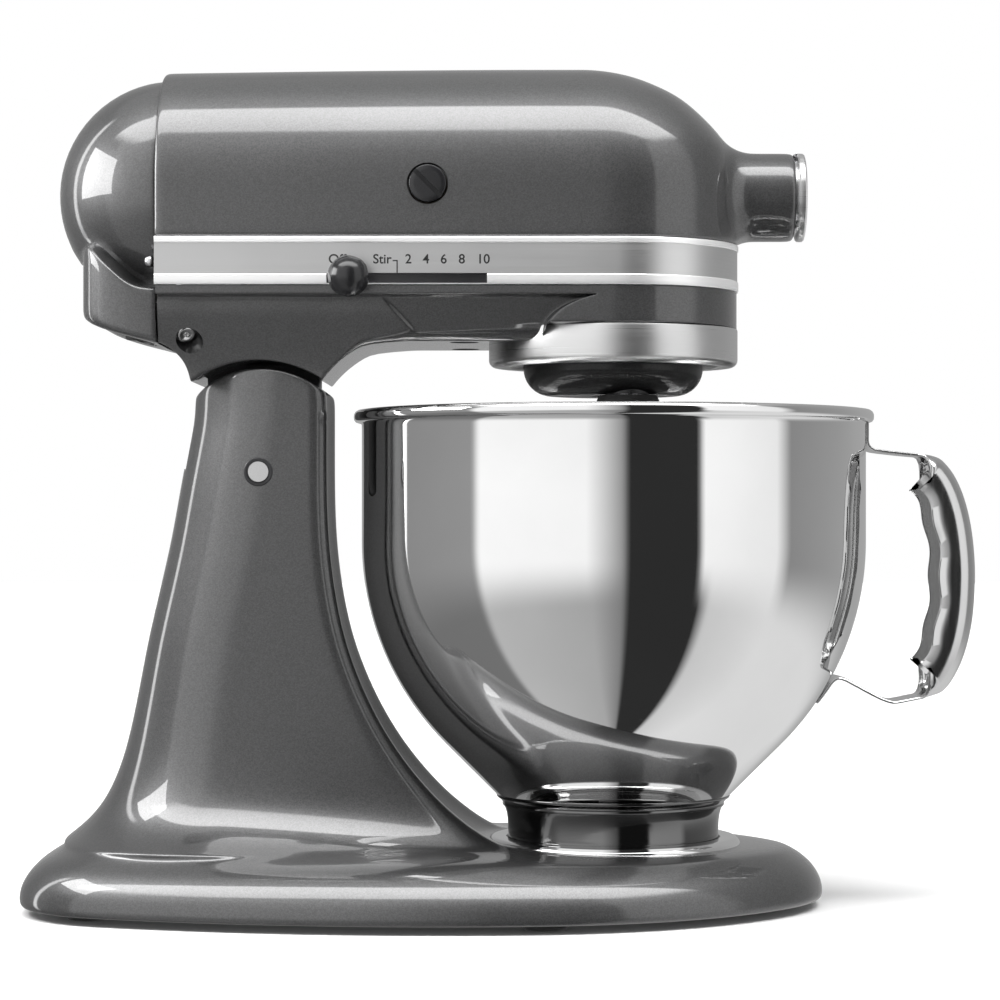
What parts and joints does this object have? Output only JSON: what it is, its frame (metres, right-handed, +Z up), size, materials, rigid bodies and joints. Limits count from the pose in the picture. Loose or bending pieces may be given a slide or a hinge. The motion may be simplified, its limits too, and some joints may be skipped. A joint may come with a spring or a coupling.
{
  "type": "stand mixer",
  "caption": "Tilt-head kitchen stand mixer: cast stand, hinged motor head with planetary drive, attachment hub, speed slide and a steel bowl on a bayonet plate",
  "frame": {"origin": "on the table, under the middle of the whole mixer with its bowl handle", "axes": "+X towards the front of the mixer, where the attachment hub is; +Y to the side of the lock lever; +Z up"},
  "size_m": [0.4026, 0.2204, 0.354],
  "materials": {
    "graphite_paint": "dark metallic graphite enamel under gloss clear coat",
    "dark_casting": "dark satin paint",
    "polished_steel": "mirror-polished stainless sheet",
    "brushed_trim": "brushed silver band",
    "bright_screw": "bright plated steel",
    "shaft_steel": "ground steel",
    "bronze": "oiled bronze",
    "copper": "enamelled copper",
    "laminate": "grey laminated iron",
    "black_plastic": "glossy black",
    "brown_plastic": "brown moulding",
    "black_rubber": "matt black",
    "carbon": "matt carbon"
  },
  "bodies": {
    "stand": {"base_casting": "graphite_paint", "column_casting": "graphite_paint", "base_screws": "bright_screw", "bowl_clamp_plate": "graphite_paint", "clamp_plate_screws": "bright_screw", "rubber_feet": "black_rubber", "hinge_pin": "shaft_steel"},
    "lock_lever": {"lock_lever": "bright_screw"},
    "lock_pin": {"lock_pin": "shaft_steel"},
    "head": {"upper_housing": "graphite_paint", "lower_housing": "graphite_paint", "end_cap": "graphite_paint", "end_cap_screw": "bright_screw", "cord_gland": "black_rubber", "housing_screws_set": "bright_screw", "trim_band": "brushed_trim", "drip_ring": "brushed_trim", "ring_gear": "laminate", "planetary_bushing": "bronze", "hub_bushing": "bronze", "hub_cover_pin": "bright_screw", "brush_holders": "brown_plastic", "carbon_brushes": "carbon", "brush_caps": "black_plastic", "motor_field": "laminate", "field_windings": "copper", "bearing_bracket": "dark_casting", "rear_bearing": "bronze", "gear_bracket": "dark_casting", "front_bearing": "bronze", "control_plate": "brown_plastic"},
    "speed_control": {"speed_lever": "bright_screw", "speed_knob": "black_plastic"},
    "hub_cover": {"hub_cover": "polished_steel"},
    "attachment_knob": {"attachment_knob": "black_plastic"},
    "armature": {"armature_shaft": "shaft_steel", "armature_core": "laminate", "armature_windings": "copper", "commutator": "copper", "cooling_fan": "black_plastic", "governor": "shaft_steel"},
    "wheel_shaft": {"wheel_shaft": "shaft_steel", "worm_wheel": "bronze"},
    "planetary": {"planetary_dish": "dark_casting", "planetary_pin": "shaft_steel", "planetary_shaft": "shaft_steel", "centre_gear": "laminate", "planetary_bevel": "laminate", "beater_bushing": "bronze"},
    "beater_drive": {"beater_shaft": "shaft_steel", "beater_pin": "shaft_steel", "beater_collar": "black_rubber", "beater_pinion": "laminate"},
    "hub_drive": {"hub_bevel": "laminate", "hub_shaft": "shaft_steel"},
    "bowl": {"bowl_shell": "polished_steel", "bowl_foot": "polished_steel", "bowl_handle": "polished_steel"}
  },
  "joints": [
    {"name": "head_tilt", "type": "hinge", "parent": "stand", "child": "head", "pos_m": [-0.10018, 0, 0.183], "axis": [0, -1, 0], "range_deg": [0, 45]},
    {"name": "lock_turn", "type": "hinge", "parent": "stand", "child": "lock_lever", "pos_m": [-0.08925, 0.0373, 0.16998], "axis": [0, 1, 0], "range_deg": [0, 60]},
    {"name": "lock_slide", "type": "slide", "parent": "stand", "child": "lock_pin", "axis": [0, -1, 0], "range_m": [0, 0.009]},
    {"name": "bowl_turn", "type": "hinge", "parent": "stand", "child": "bowl", "pos_m": [0.04782, 0, 0.026], "axis": [0, 0, 1], "range_deg": [0, 45]},
    {"name": "speed_slide", "type": "slide", "parent": "head", "child": "speed_control", "axis": [1, 0, 0], "range_m": [0, 0.054]},
    {"name": "cover_flip", "type": "hinge", "parent": "head", "child": "hub_cover", "pos_m": [0.12532, 0, 0.3195], "axis": [0, -1, 0], "range_deg": [0, 115]},
    {"name": "knob_turn", "type": "hinge", "parent": "head", "child": "attachment_knob", "pos_m": [0.11322, 0.022, 0.3], "axis": [0, 1, 0], "continuous": true},
    {"name": "armature_spin", "type": "hinge", "parent": "head", "child": "armature", "pos_m": [-0.07818, 0, 0.3005], "axis": [1, 0, 0], "continuous": true},
    {"name": "wheel_spin", "type": "hinge", "parent": "head", "child": "wheel_shaft", "pos_m": [0.00782, 0.02322, 0.3005], "axis": [0, 0, 1], "continuous": true},
    {"name": "planetary_spin", "type": "hinge", "parent": "head", "child": "planetary", "pos_m": [0.04782, 0, 0.24], "axis": [0, 0, 1], "continuous": true},
    {"name": "beater_spin", "type": "hinge", "parent": "planetary", "child": "beater_drive", "pos_m": [0.05317, -0.02314, 0.215], "axis": [0, 0, 1], "continuous": true},
    {"name": "hub_spin", "type": "hinge", "parent": "head", "child": "hub_drive", "pos_m": [0.08782, 0, 0.3], "axis": [1, 0, 0], "continuous": true}
  ],
  "couplings": [
    {"joint": "lock_slide", "follows": "lock_turn", "m_per_rad": 0.0085944},
    {"joint": "wheel_spin", "follows": "armature_spin", "ratio": 0.035714},
    {"joint": "planetary_spin", "follows": "armature_spin", "ratio": -0.0098522},
    {"joint": "beater_spin", "follows": "armature_spin", "ratio": 0.033251},
    {"joint": "hub_spin", "follows": "armature_spin", "ratio": -0.0098522}
  ]
}
